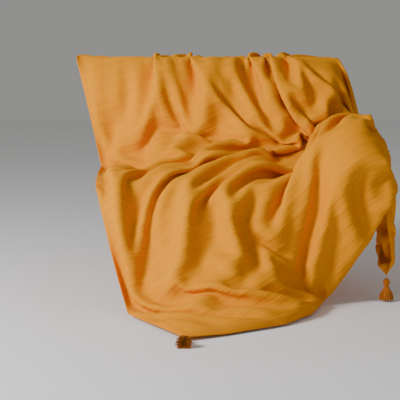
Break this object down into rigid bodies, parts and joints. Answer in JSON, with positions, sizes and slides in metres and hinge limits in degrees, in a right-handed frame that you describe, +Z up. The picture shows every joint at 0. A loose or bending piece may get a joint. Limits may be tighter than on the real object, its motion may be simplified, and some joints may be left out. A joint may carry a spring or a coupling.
{
  "type": "throw blanket",
  "caption": "Large ribbed cotton throw draped askew over a small sofa, with stitched hems and a tassel on each corner.",
  "frame": {"origin": "on the cloth's underside, in the middle of the sofa seat that it lies on", "axes": "+Z up, -Y towards the front, +X to the right as seen from the front, towards the arm of the sofa"},
  "size_m": [1.194, 1.4668, 0.8657],
  "materials": {
    "cotton_cloth": "matt ribbed weave",
    "sewing_thread": "matt thread",
    "tassel_yarn": "matt twisted yarn"
  },
  "bodies": {
    "throw": {"throw_cloth": "cotton_cloth", "hem_stitching_front": "sewing_thread", "hem_stitching_left": "sewing_thread", "hem_stitching_rear": "sewing_thread", "hem_stitching_right": "sewing_thread"},
    "front_cord": {"tassel_front_cord": "tassel_yarn"},
    "front_tassel": {"tassel_front_head": "tassel_yarn", "tassel_front_binding": "tassel_yarn", "tassel_front_skirt": "tassel_yarn"},
    "side_cord": {"tassel_side_cord": "tassel_yarn"},
    "side_tassel": {"tassel_side_head": "tassel_yarn", "tassel_side_binding": "tassel_yarn", "tassel_side_skirt": "tassel_yarn"},
    "rear_left_cord": {"tassel_rear_left_cord": "tassel_yarn"},
    "rear_left_tassel": {"tassel_rear_left_head": "tassel_yarn", "tassel_rear_left_binding": "tassel_yarn", "tassel_rear_left_skirt": "tassel_yarn"},
    "rear_right_cord": {"tassel_rear_right_cord": "tassel_yarn"},
    "rear_right_tassel": {"tassel_rear_right_head": "tassel_yarn", "tassel_rear_right_binding": "tassel_yarn", "tassel_rear_right_skirt": "tassel_yarn"}
  },
  "joints": [
    {"name": "front_cord_turn", "type": "hinge", "parent": "throw", "child": "front_cord", "pos_m": [-0.01, -0.848, -0.426], "axis": [0, 0, 1], "range_deg": [-60, 60]},
    {"name": "front_tassel_lift", "type": "hinge", "parent": "front_cord", "child": "front_tassel", "pos_m": [-0.01, -0.85469, -0.41857], "axis": [-1, 0, 0], "range_deg": [0, 80]},
    {"name": "side_cord_swing", "type": "hinge", "parent": "throw", "child": "side_cord", "pos_m": [0.707, -0.25, -0.3375], "axis": [1, 0, 0], "range_deg": [-75, 75]},
    {"name": "side_tassel_sway", "type": "hinge", "parent": "side_cord", "child": "side_tassel", "pos_m": [0.707, -0.25, -0.3475], "axis": [0, -1, 0], "range_deg": [-75, 75]},
    {"name": "rear_left_cord_swing", "type": "hinge", "parent": "throw", "child": "rear_left_cord", "pos_m": [-0.4, 0.502, 0.3475], "axis": [1, 0, 0], "range_deg": [-75, 75]},
    {"name": "rear_left_tassel_sway", "type": "hinge", "parent": "rear_left_cord", "child": "rear_left_tassel", "pos_m": [-0.4, 0.502, 0.3375], "axis": [0, -1, 0], "range_deg": [-75, 50]},
    {"name": "rear_right_cord_swing", "type": "hinge", "parent": "throw", "child": "rear_right_cord", "pos_m": [0.622, 0.502, 0.0375], "axis": [1, 0, 0], "range_deg": [-75, 75]},
    {"name": "rear_right_tassel_sway", "type": "hinge", "parent": "rear_right_cord", "child": "rear_right_tassel", "pos_m": [0.622, 0.502, 0.0275], "axis": [0, -1, 0], "range_deg": [-75, 75]}
  ]
}
